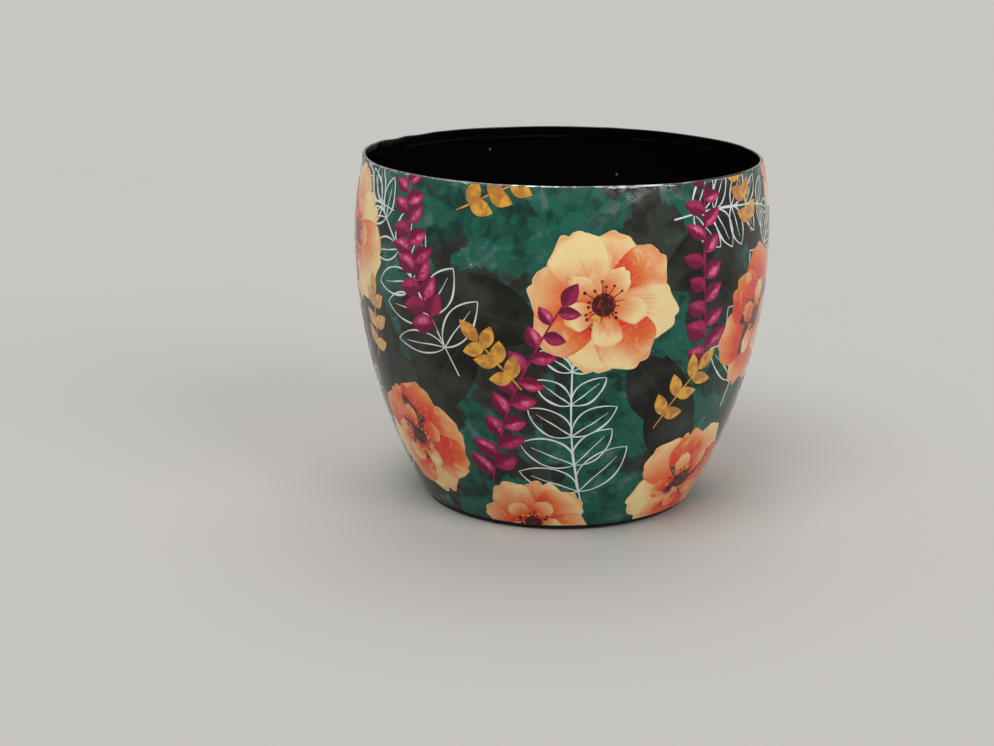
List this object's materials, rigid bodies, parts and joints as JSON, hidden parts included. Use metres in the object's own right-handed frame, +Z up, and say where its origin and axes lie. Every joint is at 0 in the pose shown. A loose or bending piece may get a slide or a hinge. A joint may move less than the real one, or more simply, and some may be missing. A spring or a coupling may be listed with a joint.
{
  "type": "cachepot",
  "caption": "Round bellied sheet-iron cachepot, open at the top, with a hemmed rim, a watertight pressed floor, a lacquered flower-print sleeve and rubber feet, to hide a nursery pot.",
  "frame": {"origin": "centre of the pot on the surface that it stands on, under its axis", "axes": "+Z up along the pot's axis, out of its mouth; +Y towards the lap of the printed sleeve, at the back"},
  "size_m": [0.18, 0.1803, 0.151],
  "materials": {
    "black_lacquer": "gloss black lacquer, bare bright iron where the fold of the rim is rubbed",
    "floor_lacquer": "gloss black lacquer",
    "sealant": "black sealant, satin",
    "printed_film": "printed flowers on mottled teal and charcoal under a thick gloss lacquer",
    "foot_rubber": "matt black rubber"
  },
  "bodies": {
    "root": {"pot_wall": "black_lacquer", "floor_pan": "floor_lacquer", "seal_bead": "sealant", "print_sleeve": "printed_film", "rubber_feet": "foot_rubber"}
  },
  "joints": []
}
